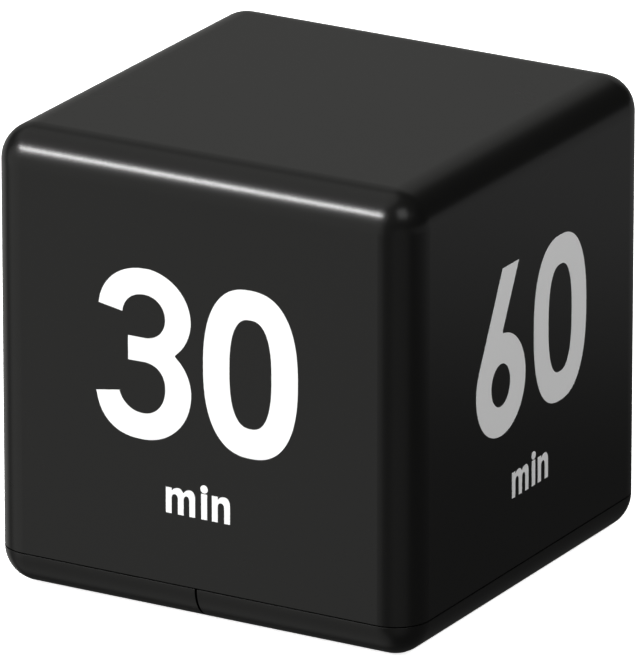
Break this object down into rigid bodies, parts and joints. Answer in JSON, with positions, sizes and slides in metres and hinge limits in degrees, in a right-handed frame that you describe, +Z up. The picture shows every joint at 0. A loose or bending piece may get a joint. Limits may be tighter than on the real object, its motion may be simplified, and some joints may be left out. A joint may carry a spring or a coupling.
{
  "type": "kitchen timer",
  "caption": "Cube kitchen timer that starts when a numbered side face is turned up, with a battery door in its base.",
  "frame": {"origin": "middle of the underside, on the surface the timer stands on", "axes": "+Z up; -Y out of the 30 minute face; +X out of the 60 minute face, the way the battery door slides off"},
  "size_m": [0.064, 0.064, 0.064],
  "materials": {
    "case_plastic": "fine satin moulded black",
    "cover_plastic": "fine satin moulded black",
    "door_plastic": "fine satin moulded black",
    "screw_steel": "zinc plated",
    "board_laminate": "green solder resist",
    "epoxy_black": "smooth cured epoxy",
    "crystal_steel": "drawn can",
    "capacitor_aluminium": "drawn can",
    "sleeve_vinyl": "shrunk sleeve",
    "transistor_epoxy": "moulded epoxy",
    "resistor_ceramic": "glazed chip",
    "switch_steel": "tinned sheet",
    "switch_laminate": "phenolic sheet",
    "pin_tin": "tinned",
    "lever_nylon": "natural white nylon",
    "knob_plastic": "satin",
    "led_resin": "clear red resin",
    "gasket_foam": "closed-cell foam",
    "piezo_brass": "rolled sheet",
    "piezo_ceramic": "silvered",
    "tilt_brass": "gold flashed",
    "tilt_plastic": "moulded header",
    "ball_steel": "polished",
    "cell_steel": "nickel plated can",
    "cell_jacket": "printed film",
    "contact_nickel": "nickel plated strip",
    "spring_nickel": "nickel plated wire",
    "wire_red": "insulation",
    "wire_black": "insulation"
  },
  "bodies": {
    "case": {"base_cover": "cover_plastic", "base_screws": "screw_steel", "board_screws": "screw_steel", "bridge_contact": "contact_nickel", "bridge_spring": "spring_nickel", "capacitor_can": "capacitor_aluminium", "capacitor_sleeve": "sleeve_vinyl", "cell_1": "cell_steel", "cell_1_jacket": "cell_jacket", "cell_2": "cell_steel", "cell_2_jacket": "cell_jacket", "chip_blob": "epoxy_black", "chip_resistors": "resistor_ceramic", "circuit_board": "board_laminate", "crystal": "crystal_steel", "driver_transistor": "transistor_epoxy", "housing": "case_plastic", "led_bulb": "led_resin", "led_legs": "pin_tin", "negative_contact": "contact_nickel", "negative_spring": "spring_nickel", "negative_wire": "wire_black", "piezo_ceramic": "piezo_ceramic", "piezo_gasket": "gasket_foam", "piezo_plate": "piezo_brass", "piezo_wire_ceramic": "wire_red", "piezo_wire_disc": "wire_black", "positive_contact": "contact_nickel", "positive_wire": "wire_red", "power_switch_base": "switch_laminate", "power_switch_can": "switch_steel", "power_switch_pins": "pin_tin", "tilt_can_a": "tilt_brass", "tilt_can_b": "tilt_brass", "tilt_header_a": "tilt_plastic", "tilt_header_b": "tilt_plastic", "tilt_leads": "pin_tin", "volume_switch_base": "switch_laminate", "volume_switch_can": "switch_steel", "volume_switch_pins": "pin_tin"},
    "battery_door": {"battery_door": "door_plastic"},
    "power_knob": {"power_knob": "knob_plastic", "power_switch_lever": "lever_nylon"},
    "volume_knob": {"volume_knob": "knob_plastic", "volume_switch_lever": "lever_nylon"},
    "tilt_ball_a": {"tilt_ball_a": "ball_steel"},
    "tilt_ball_b": {"tilt_ball_b": "ball_steel"}
  },
  "joints": [
    {"name": "battery_door_slide", "type": "slide", "parent": "case", "child": "battery_door", "axis": [1, 0, 0], "range_m": [0, 0.034]},
    {"name": "power_knob_slide", "type": "slide", "parent": "case", "child": "power_knob", "axis": [0, 1, 0], "range_m": [0, 0.002]},
    {"name": "volume_knob_slide", "type": "slide", "parent": "case", "child": "volume_knob", "axis": [0, 1, 0], "range_m": [0, 0.002]},
    {"name": "tilt_ball_a_roll", "type": "slide", "parent": "case", "child": "tilt_ball_a", "axis": [0.7071, 0.7071, 0], "range_m": [0, 0.0035]},
    {"name": "tilt_ball_b_roll", "type": "slide", "parent": "case", "child": "tilt_ball_b", "axis": [0.7071, -0.7071, 0], "range_m": [0, 0.0035]}
  ]
}
